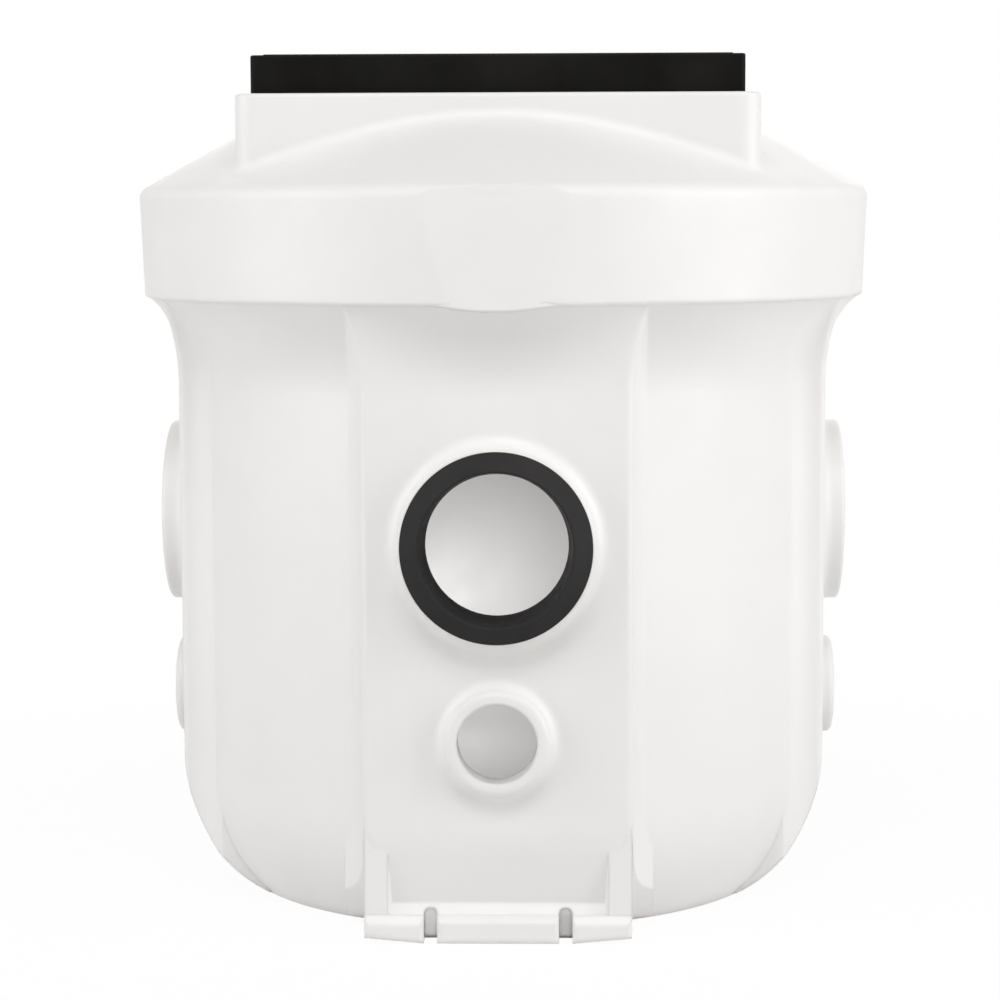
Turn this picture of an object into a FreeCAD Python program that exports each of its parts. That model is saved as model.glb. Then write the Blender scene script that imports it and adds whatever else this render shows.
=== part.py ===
import FreeCAD, Part
import math
import os

# Sewage pumping station for setting under a floor: tank, frame and lid, pump, pipework and level switch.
# Millimetres. z = 0 is the ground under the tank, the open inlet faces -Y and +X is to the right of it.

# Tank body, a section turned about the Z axis
WALL = 7.0
BODY_R = 255.0
BOTTOM_CURVE_R = 115.0
BOTTOM_CURVE_Z = 88.0
SIDE_CURVE_R = 140.0
SIDE_CURVE_Z = 120.0
BOTTOM_EDGE_R = 8.0
FLARE_Z = 413.7
FLARE_R = 80.0
BAND_LEDGE = 4.0
BAND_OVERHANG = 39.0
BAND_DRAFT = 3.4
BAND_H = 85.5
BAND_LOW_EDGE_R = 3.0
BAND_TOP_EDGE_R = 11.0
BAND_FLAT_CUT = 2.0
CONE_RISE = 0.5475

# Square neck of the tank
NECK_SETBACK = 98.4
NECK_CORNER_R = 16.0
NECK_WALL = 8.0
NECK_RISE = 18.0
NECK_TOP_EDGE_R = 2.5
NECK_FILLET_R = 12.0

# Flat panels on the four sides of the tank
PANEL_STAND = 2.0
PANEL_HALF = 100.5
PANEL_ROOT_HALF = 118.0
PANEL_ROOT_SINK = 2.0
PANEL_EDGE = 4.0
PANEL_SAG = 4.0
PANEL_FOOT_Z = 4.0
PANEL_SPREAD = 12.0
PANEL_TOP_STAND = 0.8
PANEL_HEAD_STEPS = 4

# Pipe stubs on the panels
STUB_Z = 301.5
STUB_R = 74.0
STUB_BORE_R = 65.0
STUB_LENGTH = 19.0
STUB_FILLET_R = 10.0
STUB_EDGE_R = 3.0
SMALL_STUB_Z = 154.5
SMALL_STUB_R = 40.0
SMALL_STUB_BORE_R = 30.0
SMALL_STUB_LENGTH = 15.0
SMALL_STUB_FILLET_R = 8.0
SMALL_STUB_EDGE_R = 5.0

# Feet with slots for ground anchors, front and back
FOOT_HALF = 101.0
FOOT_REACH = 5.0
FOOT_H = 21.0
FOOT_END_H = 15.0
FOOT_END_RISE = 4.0
FOOT_EDGE_R = 4.0
FOOT_SLOT_X = 51.0
FOOT_SLOT_W = 10.0
FOOT_SLOT_DEPTH = 20.5
FOOT_RIB_W = 18.0
FOOT_RIB_DRAFT = 0.3
FOOT_RIB_SETBACK = 1.3

# Rubber pipe seal in the open stub
SEAL_FLANGE_R = 71.5
SEAL_FLANGE_T = 1.5
SEAL_NOSE = 11.0
SEAL_DEPTH = 28.0
SEAL_SLEEVE_T = 4.0
SEAL_LIP_R = 53.5
SEAL_LIP_LENGTH = 9.0
SEAL_LIP_T = 3.5

# Frame that telescopes in the neck, and the rubber strip round it
FRAME_GAP = 4.0
FRAME_RISE = 29.0
FRAME_H = 100.0
FRAME_WALL = 8.0
FRAME_EDGE_R = 1.5
LEDGE_W = 24.0
LEDGE_T = 8.0
STRIP_H = 16.0
STRIP_DROP = 3.0
SLIDE_GAP = 0.3

# Lid, its gasket and its four screws
LID_PROUD = 1.0
LID_GAP = 0.6
LID_T = 14.0
LID_SKIN = 6.0
LID_RIM = 9.0
LID_RIB_W = 5.0
LID_RIB_PITCH = 72.0
LID_EDGE_R = 1.5
GASKET_T = 2.0
GASKET_W = 12.0
LID_SCREW_INSET = 33.0
LID_SCREW_R = 4.0
LID_HEAD_R = 7.5
LID_HEAD_T = 5.0
LID_BOSS_R = 13.0
INSERT_R = 7.0
INSERT_T = 14.0
GRIP_L = 74.0
GRIP_W = 30.0
GRIP_DEPTH = 9.0
GRIP_OUT = 118.0
GRIP_BAR_R = 3.5

# Pump, on the tank's floor beside the way of the inflow
PUMP_INSET = 119.0
PUMP_Y = 20.0
PUMP_R = 64.0
STRAINER_FOOT_R = 52.0
STRAINER_H = 33.0
STRAINER_T = 4.0
STRAINER_SLOTS = 12
STRAINER_SLOT_W = 7.0
EYE_R = 26.0
VOLUTE_H = 56.0
VOLUTE_WALL = 10.0
VOLUTE_FLOOR = 6.0
IMPELLER_R = 44.0
IMPELLER_GAP = 6.0
IMPELLER_PLATE_T = 5.0
VANE_H = 20.0
VANE_T = 4.0
VANES = 5
HUB_R = 13.0
SHAFT_R = 7.0
SHAFT_GAP = 0.3
FLANGE_T = 16.0
SHAFT_SEAL_R = 12.0
MOTOR_R = 52.0
MOTOR_H = 116.0
CAP_R = 56.0
CAP_T = 12.0
DOME_R = 34.0
DOME_H = 13.0
HANDLE_HALF = 44.0
HANDLE_H = 50.0
HANDLE_R = 6.0
HANDLE_BEND_R = 16.0
PUMP_GLAND_R = 9.0
PUMP_GLAND_HOLE_R = 5.0
PUMP_GLAND_H = 13.0
PUMP_GLAND_OUT = 14.0
PUMP_SCREWS = 4
PUMP_SCREW_R = 3.0
PUMP_HEAD_R = 5.0
PUMP_HEAD_T = 5.0
FLANGE_SCREW_AT = 59.0
CAP_SCREW_AT = 44.0
SCREW_GRIP = 14.0

# Discharge: nozzle, union, elbow, swing check valve, pipe and its wall seal
PIPE_R = 20.0
PIPE_WALL = 4.0
PIPE_BEND_R = 32.0
NOZZLE_OFFSET = 35.0
NOZZLE_R = 22.0
NOZZLE_END = 84.0
UNION_LENGTH = 26.0
UNION_HALF = 30.0
RISER_Y = 150.0
VALVE_Z = 200.0
SOCKET_T = 5.0
SOCKET_DEPTH = 20.0
SEAT_R = 15.0
SEAT_RING = 5.0
SEAT_RISE = 2.0
SEAT_T = 16.0
CHAMBER_R = 28.0
CHAMBER_WALL = 5.0
CHAMBER_H = 48.0
VALVE_FLANGE_R = 43.0
VALVE_FLANGE_T = 8.0
VALVE_GASKET_T = 2.0
BONNET_H = 13.0
BONNET_TAPER = 15.0
VALVE_SCREWS = 4
VALVE_SCREW_R = 2.5
VALVE_HEAD_R = 4.0
VALVE_HEAD_T = 4.0
FLAP_R = 19.0
FLAP_T = 3.2
FLAP_GAP = 0.3
FLAP_ARM_W = 12.0
HINGE_OFFSET = 22.0
HINGE_R = 1.8
HINGE_GAP = 0.4
HINGE_KNUCKLE_R = 4.2
HINGE_KNUCKLE_HALF = 6.5
OUTLET_X = 45.0
OUTLET_Z = 365.0
OUTLET_STUB = 38.0
OUTLET_TURN = 55.0
BEAD_R = 22.5
BEAD_T = 4.0
GROMMET_T = 5.0
GROMMET_LIP = 5.0
GROMMET_LIP_T = 4.5

# Cable gland in the back panel
GLAND_X = -45.0
GLAND_R = 12.0
GLAND_FLANGE_R = 17.0
GLAND_FLANGE_T = 6.0
GLAND_DOME_R = 14.0
GLAND_DOME_H = 18.0
GLAND_HOLE_R = 6.5
GLAND_NUT_T = 6.0

# Level switch: a float on a rod, held by a clamp on the motor
FLOAT_ASIDE = 14.0
FLOAT_Y = -85.0
FLOAT_R = 26.0
FLOAT_H = 58.0
FLOAT_EDGE_R = 6.0
FLOAT_Z = 50.5
FLOAT_GAP = 0.5
ROD_R = 5.0
ROD_TOP = 262.0
COLLAR_R = 9.0
COLLAR_H = 7.0
CLAMP_Z = 205.0
CLAMP_H = 16.0
CLAMP_T = 5.0
CLAMP_ARM_W = 14.0
SWITCH_HALF = 22.0
SWITCH_H = 46.0
SWITCH_CORNER_R = 6.0
SWITCH_GRIP = 20.0

V = FreeCAD.Vector
UP = V(0, 0, 1)
FRONT, RIGHT, BACK, LEFT = 0, 90, 180, 270

# Places worked out from the sizes above
PANEL_OUT = BODY_R + PANEL_STAND
FOOT_OUT = PANEL_OUT + FOOT_REACH
BAND_LOW_R = BODY_R + BAND_OVERHANG
BAND_TOP_R = BAND_LOW_R + BAND_DRAFT
BAND_FLAT_OUT = BAND_LOW_R - BAND_FLAT_CUT
NECK_HALF = BAND_TOP_R - NECK_SETBACK
PUMP_X = BODY_R - PUMP_INSET
FLOAT_X = PUMP_X + FLOAT_ASIDE
FLOOR_R = BODY_R - BOTTOM_CURVE_R + math.sqrt(BOTTOM_CURVE_R ** 2 - BOTTOM_CURVE_Z ** 2)
PANEL_CORNER_R = math.hypot(PANEL_HALF, PANEL_OUT)
PANEL_FADE_Z = math.sqrt(BOTTOM_CURVE_R ** 2 - (FLOOR_R - PANEL_CORNER_R + BOTTOM_CURVE_R) ** 2)
FLARE_TOP_R = BAND_LOW_R - BAND_LEDGE
FLARE_END = math.acos((FLARE_R - FLARE_TOP_R + BODY_R) / FLARE_R)
PANEL_TOP_R = FLARE_TOP_R + PANEL_TOP_STAND
BAND_LOW_Z = FLARE_Z + FLARE_R * math.sin(FLARE_END)
BAND_TOP_Z = BAND_LOW_Z + BAND_H
CONE_SLANT = math.sqrt(1 + CONE_RISE ** 2)
NECK_TOP = BAND_TOP_Z + NECK_SETBACK * CONE_RISE + NECK_RISE
NECK_IN_HALF = NECK_HALF - NECK_WALL
NECK_IN_CORNER_R = NECK_CORNER_R - NECK_WALL
STUB_OUT = PANEL_OUT + STUB_LENGTH
SMALL_STUB_OUT = PANEL_OUT + SMALL_STUB_LENGTH
FRAME_HALF = NECK_IN_HALF - FRAME_GAP
FRAME_CORNER_R = NECK_IN_CORNER_R - FRAME_GAP
FRAME_TOP = NECK_TOP + FRAME_RISE
FRAME_IN_HALF = FRAME_HALF - FRAME_WALL
LID_TOP = FRAME_TOP + LID_PROUD
LID_BOTTOM = LID_TOP - LID_T
LID_HALF = FRAME_IN_HALF - LID_GAP
LEDGE_TOP = LID_BOTTOM - SLIDE_GAP - GASKET_T
LID_SCREW_AT = LID_HALF - LID_SCREW_INSET
STRAINER_TOP = WALL + STRAINER_H
VOLUTE_TOP = STRAINER_TOP + VOLUTE_H
FLANGE_TOP = VOLUTE_TOP + FLANGE_T
MOTOR_TOP = FLANGE_TOP + MOTOR_H
CAP_TOP = MOTOR_TOP + CAP_T
IMPELLER_Z = STRAINER_TOP + VOLUTE_FLOOR + IMPELLER_GAP
IMPELLER_TOP = IMPELLER_Z + VANE_H + IMPELLER_PLATE_T
NOZZLE_X = PUMP_X - NOZZLE_OFFSET
NOZZLE_Y = PUMP_Y + NOZZLE_END
NOZZLE_Z = STRAINER_TOP + VOLUTE_H / 2
PIPE_BORE_R = PIPE_R - PIPE_WALL
SOCKET_R = PIPE_R + SOCKET_T
SEAT_TOP = VALVE_Z + SEAT_T + SEAT_RISE
CHAMBER_OUT_R = CHAMBER_R + CHAMBER_WALL
VALVE_TOP = VALVE_Z + SEAT_T + CHAMBER_H
BONNET_Z = VALVE_TOP + VALVE_GASKET_T
BONNET_TOP = BONNET_Z + BONNET_H + BONNET_TAPER
VALVE_SCREW_AT = (CHAMBER_OUT_R + VALVE_FLANGE_R) / 2 + VALVE_SCREW_R / 4
HINGE_Y = RISER_Y + HINGE_OFFSET
HINGE_Z = SEAT_TOP + FLAP_GAP + HINGE_KNUCKLE_R + FLAP_GAP
GROMMET_R = PIPE_R + GROMMET_T


def closed_face(steps, place):
    """Flat face through steps: (a, b) ends a straight line, (a, b, a_mid, b_mid) ends an arc."""
    points = [place(s[0], s[1]) for s in steps]
    edges = []
    for i, step in enumerate(steps):
        start, end = points[i - 1], points[i]
        if start.isEqual(end, 1e-7):
            continue
        if len(step) == 4:
            edges.append(Part.Arc(start, place(step[2], step[3]), end).toShape())
        else:
            edges.append(Part.LineSegment(start, end).toShape())
    return Part.Face(Part.Wire(edges))


def turned(steps, x=0.0, y=0.0):
    """Section of (radius, z) steps turned about the upright axis through x, y."""
    face = closed_face(steps, lambda r, z: V(x + r, y, z))
    return face.revolve(V(x, y, 0), UP, 360)


def turned_level(steps, x, z, side=FRONT):
    """Section of (radius, distance out) steps turned about a level axis, on one side of the tank."""
    face = closed_face(steps, lambda r, out: V(x + r, -out, z))
    shape = face.revolve(V(x, 0, z), V(0, 1, 0), 360)
    shape.rotate(V(0, 0, 0), UP, side)
    return shape


def tube(r_out, r_in, z0, z1, x=0.0, y=0.0):
    return turned([(r_in, z0), (r_out, z0), (r_out, z1), (r_in, z1)], x, y)


def post(r, z0, z1, x, y):
    return Part.makeCylinder(r, z1 - z0, V(x, y, z0))


def block(x0, x1, y0, y1, z0, z1):
    return Part.makeBox(x1 - x0, y1 - y0, z1 - z0, V(x0, y0, z0))


def square_prism(half, corner, z0, z1):
    """Upright square bar about the Z axis, with round corners."""
    bar = block(-half, half, -half, half, z0, z1)
    upright = [e for e in bar.Edges if abs(e.tangentAt(e.FirstParameter).z) > 0.99]
    return bar.makeFillet(corner, upright)


def round_top(shape, radius, z):
    """Round the outer edges of the flat top at height z."""
    face = max((f for f in shape.Faces if abs(f.CenterOfMass.z - z) < 1e-6), key=lambda f: f.Area)
    return shape.makeFillet(radius, face.OuterWire.Edges)


def ring_places(count, radius, x, y, start=45.0):
    for i in range(count):
        a = math.radians(start + 360.0 * i / count)
        yield x + radius * math.cos(a), y + radius * math.sin(a)


def on_arc(centre, radius, angle):
    return centre[0] + radius * math.cos(angle), centre[1] + radius * math.sin(angle)


def bent_pipe(points, bend_r, r_out, r_in):
    """Pipe along straight runs joined by tangent arcs."""
    at = points[0]
    edges = []
    for corner, after in zip(points[1:-1], points[2:]):
        back = (at - corner).normalize()
        ahead = (after - corner).normalize()
        half_turn = (math.pi - back.getAngle(ahead)) / 2
        cut = bend_r * math.tan(half_turn)
        to_mid = (back + ahead).normalize()
        mid = corner + to_mid * (bend_r / math.cos(half_turn) - bend_r)
        edges.append(Part.LineSegment(at, corner + back * cut).toShape())
        edges.append(Part.Arc(corner + back * cut, mid, corner + ahead * cut).toShape())
        at = corner + ahead * cut
    edges.append(Part.LineSegment(at, points[-1]).toShape())
    path = Part.Wire(edges)
    along = points[1] - points[0]
    solids = []
    for r in (r_out, r_in):
        ring = Part.Wire([Part.Circle(points[0], along, r).toShape()])
        solids.append(path.makePipeShell([ring], True, True))
    return solids[0].cut(solids[1])


def cone_z(r, inset=0.0):
    """Height of the tank's shoulder at radius r."""
    return BAND_TOP_Z + (BAND_TOP_R - r) * CONE_RISE - inset * CONE_SLANT


def bottom_and_wall(out, inset, curve_r=BOTTOM_CURVE_R, curve_z=BOTTOM_CURVE_Z):
    """Steps from the floor up a wall that stands at out, with the bottom curve between them."""
    centre = (out - curve_r, curve_z)
    radius = curve_r - inset
    start = -math.asin((curve_z - inset) / radius)
    return [
        on_arc(centre, radius, start),
        (out - inset, curve_z) + on_arc(centre, radius, start / 2),
        (out - inset, FLARE_Z),
    ]


def panel_wall(side, inset):
    """Bottom curve and wall of a flat panel; the panels at the left and right curve in sooner."""
    if side in (LEFT, RIGHT):
        return bottom_and_wall(PANEL_OUT, inset, SIDE_CURVE_R, SIDE_CURVE_Z)
    return bottom_and_wall(PANEL_OUT, inset)


def flare(out, inset, end):
    """Arc step that takes a wall at out up and outwards to the band."""
    centre = (out + FLARE_R, FLARE_Z)
    radius = FLARE_R + inset
    return on_arc(centre, radius, math.pi - end) + on_arc(centre, radius, math.pi - end / 2)


def body_solid(inset):
    """The round body as a solid, with every wall moved in by inset."""
    end = math.acos((FLARE_R - BAND_OVERHANG + BAND_LEDGE + inset) / (FLARE_R + inset))
    crown_r = NECK_IN_HALF - NECK_FILLET_R
    steps = [(0.0, inset)] + bottom_and_wall(BODY_R, inset)
    steps.append(flare(BODY_R, inset, end))
    steps.append((BAND_LOW_R - inset, BAND_LOW_Z + inset))
    steps.append((BAND_TOP_R - inset, cone_z(BAND_TOP_R - inset, inset)))
    steps.append((crown_r, cone_z(crown_r, inset)))
    steps.append((0.0, cone_z(crown_r, inset)))
    return turned(steps)


def round_edges_at(shape, radius, r, z):
    """Round the level circular edges of radius r at height z."""
    edges = []
    for e in shape.Edges:
        if isinstance(e.Curve, Part.Circle) and abs(e.Curve.Radius - r) < 0.01:
            if abs(e.Curve.Center.z - z) < 0.01 and abs(e.Curve.Axis.z) > 0.99:
                edges.append(e)
    return shape.makeFillet(radius, edges)


def outer_body():
    """Round body with its soft edges, the flat on the band and the square neck blended in."""
    body = body_solid(0.0)
    body = round_edges_at(body, BOTTOM_EDGE_R, FLOOR_R, 0.0)
    body = round_edges_at(body, BAND_LOW_EDGE_R, BAND_LOW_R, BAND_LOW_Z)
    body = round_edges_at(body, BAND_TOP_EDGE_R, BAND_TOP_R, BAND_TOP_Z)
    flat = block(-NECK_HALF, NECK_HALF, -2 * BAND_TOP_R, -BAND_FLAT_OUT, FLARE_Z, NECK_TOP)
    body = body.cut(flat)
    neck = square_prism(NECK_HALF, NECK_CORNER_R, BAND_LOW_Z, NECK_TOP)
    neck = round_top(neck, NECK_TOP_EDGE_R, NECK_TOP)
    body = body.fuse(neck)
    seam = []
    for e in body.Edges:
        p = e.valueAt((e.FirstParameter + e.LastParameter) / 2)
        r = math.hypot(p.x, p.y)
        on_cone = r < BAND_LOW_R - BAND_TOP_EDGE_R and abs(p.z - cone_z(r)) < 0.5
        if on_cone and max(abs(p.x), abs(p.y)) > NECK_IN_HALF:
            seam.append(e)
    return body.makeFillet(NECK_FILLET_R, seam)


def panel_plan(rise, z):
    """Wire of a panel's plan; rise goes from 0 on the flat wall to 1 at the band, where its face is round."""
    wall_r = BODY_R + (FLARE_TOP_R - BODY_R) * rise
    half = PANEL_HALF + PANEL_SPREAD * rise
    root_half = PANEL_ROOT_HALF + PANEL_SPREAD * rise
    root_out = math.sqrt(wall_r ** 2 - root_half ** 2) - PANEL_ROOT_SINK
    middle_out = PANEL_OUT + (PANEL_TOP_R - PANEL_OUT) * rise
    face_out = PANEL_OUT + (math.sqrt(PANEL_TOP_R ** 2 - half ** 2) - PANEL_OUT) * rise
    face = (half - PANEL_EDGE, face_out)
    corner = (half - 0.2 * PANEL_EDGE, face_out - 0.3 * PANEL_EDGE)
    edge = (half + 1.0, face_out - PANEL_EDGE)
    chord = V(root_half - edge[0], edge[1] - root_out, 0)
    sag = V(-chord.y, -chord.x, 0).normalize() * PANEL_SAG
    hollow = ((root_half + edge[0]) / 2 + sag.x, (root_out + edge[1]) / 2 + sag.y)
    across = (-face[0], face_out, 0.0, middle_out) if rise else (-face[0], face_out)
    return closed_face([
        (root_half, BODY_R / 2),
        (root_half, root_out),
        edge + hollow,
        face + corner,
        across,
        (-edge[0], edge[1], -corner[0], corner[1]),
        (-root_half, root_out, -hollow[0], hollow[1]),
        (-root_half, BODY_R / 2),
    ], lambda x, out: V(x, -out, z)).OuterWire


def panel_head():
    """Top of a panel, swept up the flare from the flat wall to the band's circle."""
    wires = []
    for i in range(PANEL_HEAD_STEPS + 1):
        turn = FLARE_END * i / PANEL_HEAD_STEPS
        rise = (1 - math.cos(turn)) / (1 - math.cos(FLARE_END))
        wires.append(panel_plan(rise, FLARE_Z + FLARE_R * math.sin(turn)))
    return Part.makeLoft(wires, True, False)


def outer_panel(side):
    """One flat panel: its plan raised, cut to the wall's side view and to the round bottom, and its head."""
    raised = Part.Face(panel_plan(0.0, PANEL_FOOT_Z)).extrude(UP * (FLARE_Z - PANEL_FOOT_Z))
    steps = [(BODY_R / 2, 0.0)] + panel_wall(side, 0.0) + [(BODY_R / 2, FLARE_Z)]
    view = closed_face(steps, lambda out, z: V(-BODY_R, -out, z))
    shape = raised.common(view.extrude(V(2 * BODY_R, 0, 0)))
    bowl = [(0.0, 0.0)] + bottom_and_wall(PANEL_CORNER_R, 0.0, BOTTOM_CURVE_R, PANEL_FADE_Z)
    shape = shape.common(turned(bowl + [(0.0, FLARE_Z)])).fuse(panel_head())
    shape.rotate(V(0, 0, 0), UP, side)
    return shape


def inner_panel(side):
    """The hollow behind one flat panel."""
    half = PANEL_HALF - WALL
    steps = [(BODY_R / 2, WALL)] + panel_wall(side, WALL) + [(BODY_R / 2, FLARE_Z)]
    view = closed_face(steps, lambda out, z: V(-half, -out, z))
    shape = view.extrude(V(2 * half, 0, 0))
    shape.rotate(V(0, 0, 0), UP, side)
    return shape


def stub(side, z, r, out, fillet_r, edge_r):
    """Closed round stub with a hollow root, standing out from a panel."""
    mid = 1 - math.sqrt(0.5)
    root = PANEL_OUT + fillet_r
    steps = [
        (0.0, PANEL_OUT - WALL),
        (r + fillet_r, PANEL_OUT - WALL),
        (r + fillet_r, PANEL_OUT),
        (r, root, r + fillet_r * mid, PANEL_OUT + fillet_r * mid),
        (r, out - edge_r),
        (r - edge_r, out, r - edge_r * mid, out - edge_r * mid),
        (0.0, out),
    ]
    return turned_level(steps, 0.0, z, side)


def level_bore(side, x, z, r, start, end):
    return turned_level([(0.0, start), (r, start), (r, end), (0.0, end)], x, z, side)


def foot_rib(hand):
    """Upright rib at one end of a foot, wider at its root than at its face."""
    depth = BOTTOM_CURVE_R / 2
    face_out = PANEL_OUT - FOOT_RIB_SETBACK
    plan = [
        (FOOT_HALF, face_out - depth),
        (FOOT_HALF, face_out),
        (FOOT_HALF - FOOT_RIB_W, face_out),
        (FOOT_HALF - FOOT_RIB_W - FOOT_RIB_DRAFT * depth, face_out - depth),
    ]
    low = FOOT_END_H / 2
    return closed_face(plan, lambda x, out: V(hand * x, -out, low)).extrude(UP * (BOTTOM_CURVE_Z - low))


def foot_tab(x0, x1, front_h, end_rise):
    """One tab of a foot between two x places, with soft edges; its underside rises to its end at x1."""
    deep = PANEL_OUT - BOTTOM_CURVE_R / 2
    slope = FOOT_OUT - FOOT_REACH
    side_view = [(deep, 0.0), (FOOT_OUT, 0.0), (FOOT_OUT, front_h), (slope, FOOT_H), (deep, FOOT_H)]
    tab = closed_face(side_view, lambda out, z: V(x0, -out, z)).extrude(V(x1 - x0, 0, 0))
    if end_rise:
        wedge = closed_face([(x0, 0.0), (x1, 0.0), (x1, end_rise)], lambda x, z: V(x, -FOOT_OUT, z))
        tab = tab.cut(wedge.extrude(V(0, FOOT_SLOT_DEPTH, 0)))
    front = [e for e in tab.Edges if e.BoundBox.YMax < -FOOT_OUT + 1e-6]
    return tab.makeFillet(FOOT_EDGE_R, front)


def foot(side):
    """Ground foot under the flat panel: three tabs with anchor slots between them and a rib at each end."""
    inner, outer = FOOT_SLOT_X - FOOT_SLOT_W / 2, FOOT_SLOT_X + FOOT_SLOT_W / 2
    shape = foot_tab(-inner, inner, FOOT_H - FOOT_EDGE_R, 0.0)
    deep = PANEL_OUT - BOTTOM_CURVE_R / 2
    slot_end = FOOT_OUT - FOOT_SLOT_DEPTH
    for hand in (-1, 1):
        slot_x = hand * FOOT_SLOT_X
        bridge = block(slot_x - FOOT_SLOT_W, slot_x + FOOT_SLOT_W, -slot_end, -deep, 0, FOOT_H)
        tab = foot_tab(hand * outer, hand * FOOT_HALF, FOOT_END_H, FOOT_END_RISE)
        shape = shape.fuse([bridge, tab, foot_rib(hand)])
    shape.rotate(V(0, 0, 0), UP, side)
    return shape


def make_tank():
    sides = (FRONT, RIGHT, BACK, LEFT)
    stub_sides = (FRONT, RIGHT, LEFT)
    deep = PANEL_OUT - 2 * WALL
    stubs = []
    bores = []
    for side in stub_sides:
        open_end = SMALL_STUB_LENGTH if side == FRONT else 0.0
        stubs.append(stub(side, STUB_Z, STUB_R, STUB_OUT, STUB_FILLET_R, STUB_EDGE_R))
        bores.append(level_bore(side, 0.0, STUB_Z, STUB_BORE_R, deep, STUB_OUT - WALL + open_end))
        stubs.append(stub(
            side, SMALL_STUB_Z, SMALL_STUB_R, SMALL_STUB_OUT, SMALL_STUB_FILLET_R, SMALL_STUB_EDGE_R))
        bores.append(level_bore(
            side, 0.0, SMALL_STUB_Z, SMALL_STUB_BORE_R, deep, SMALL_STUB_OUT - WALL + open_end))
    bores.append(level_bore(BACK, -OUTLET_X, OUTLET_Z, GROMMET_R, deep, STUB_OUT))
    bores.append(level_bore(BACK, -GLAND_X, OUTLET_Z, GLAND_R, deep, STUB_OUT))

    outside = outer_body().fuse([outer_panel(side) for side in sides])
    outside = outside.fuse([foot(FRONT), foot(BACK)]).fuse(stubs)
    rooms = [inner_panel(side) for side in sides]
    rooms.append(square_prism(NECK_IN_HALF, NECK_IN_CORNER_R, BAND_TOP_Z - NECK_WALL, NECK_TOP + NECK_RISE))
    hollow = body_solid(WALL).fuse(rooms).removeSplitter()
    return outside.cut(hollow).cut(bores).removeSplitter()


def make_inlet_seal():
    """Lip seal: a cone in front of the stub, a sleeve in its bore and a funnel back to the pipe lip."""
    back = STUB_OUT - SEAL_DEPTH
    nose = STUB_OUT + SEAL_NOSE
    sleeve_r = STUB_BORE_R - SEAL_SLEEVE_T
    mouth_r = SEAL_LIP_R + SEAL_LIP_T
    nose_r = mouth_r + SEAL_FLANGE_T
    return turned_level([
        (STUB_BORE_R, back),
        (STUB_BORE_R, STUB_OUT),
        (SEAL_FLANGE_R, STUB_OUT),
        (SEAL_FLANGE_R, STUB_OUT + SEAL_FLANGE_T),
        (nose_r + SEAL_FLANGE_T / 2, nose - SEAL_FLANGE_T / 2),
        (mouth_r, nose - SEAL_FLANGE_T, nose_r - SEAL_FLANGE_T / 2, nose),
        (SEAL_LIP_R, back + SEAL_LIP_LENGTH),
        (SEAL_LIP_R, back),
        (SEAL_LIP_R + SEAL_LIP_T, back),
        (sleeve_r, STUB_OUT - SEAL_LIP_T),
        (sleeve_r, back),
    ], 0.0, STUB_Z)


def make_frame():
    """Square frame with an inner ledge for the lid and a pad for an insert in each corner."""
    low = FRAME_TOP - FRAME_H
    shape = round_top(square_prism(FRAME_HALF, FRAME_CORNER_R, low, FRAME_TOP), FRAME_EDGE_R, FRAME_TOP)
    shape = shape.cut(block(
        -FRAME_IN_HALF, FRAME_IN_HALF, -FRAME_IN_HALF, FRAME_IN_HALF, LEDGE_TOP, FRAME_TOP + 1))
    shape = shape.cut(block(
        -FRAME_IN_HALF, FRAME_IN_HALF, -FRAME_IN_HALF, FRAME_IN_HALF, low - 1, LEDGE_TOP - LEDGE_T))
    opening = FRAME_IN_HALF - LEDGE_W
    shape = shape.cut(block(-opening, opening, -opening, opening, low, FRAME_TOP))
    for x, y in ring_places(4, LID_SCREW_AT * math.sqrt(2), 0.0, 0.0):
        pad = post(INSERT_R + LEDGE_T, LEDGE_TOP - INSERT_T - LEDGE_T / 2, LEDGE_TOP, x, y)
        shape = shape.fuse(pad).cut(post(INSERT_R, LEDGE_TOP - INSERT_T, LEDGE_TOP + 1, x, y))
    return shape.removeSplitter()


def make_frame_strip():
    """Rubber strip in the neck that holds and seals the frame."""
    top = NECK_TOP - STRIP_DROP
    in_half = FRAME_HALF + SLIDE_GAP
    shape = square_prism(NECK_IN_HALF, NECK_IN_CORNER_R, top - STRIP_H, top)
    return shape.cut(square_prism(in_half, FRAME_CORNER_R + SLIDE_GAP, top - STRIP_H - 1, top + 1))


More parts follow.
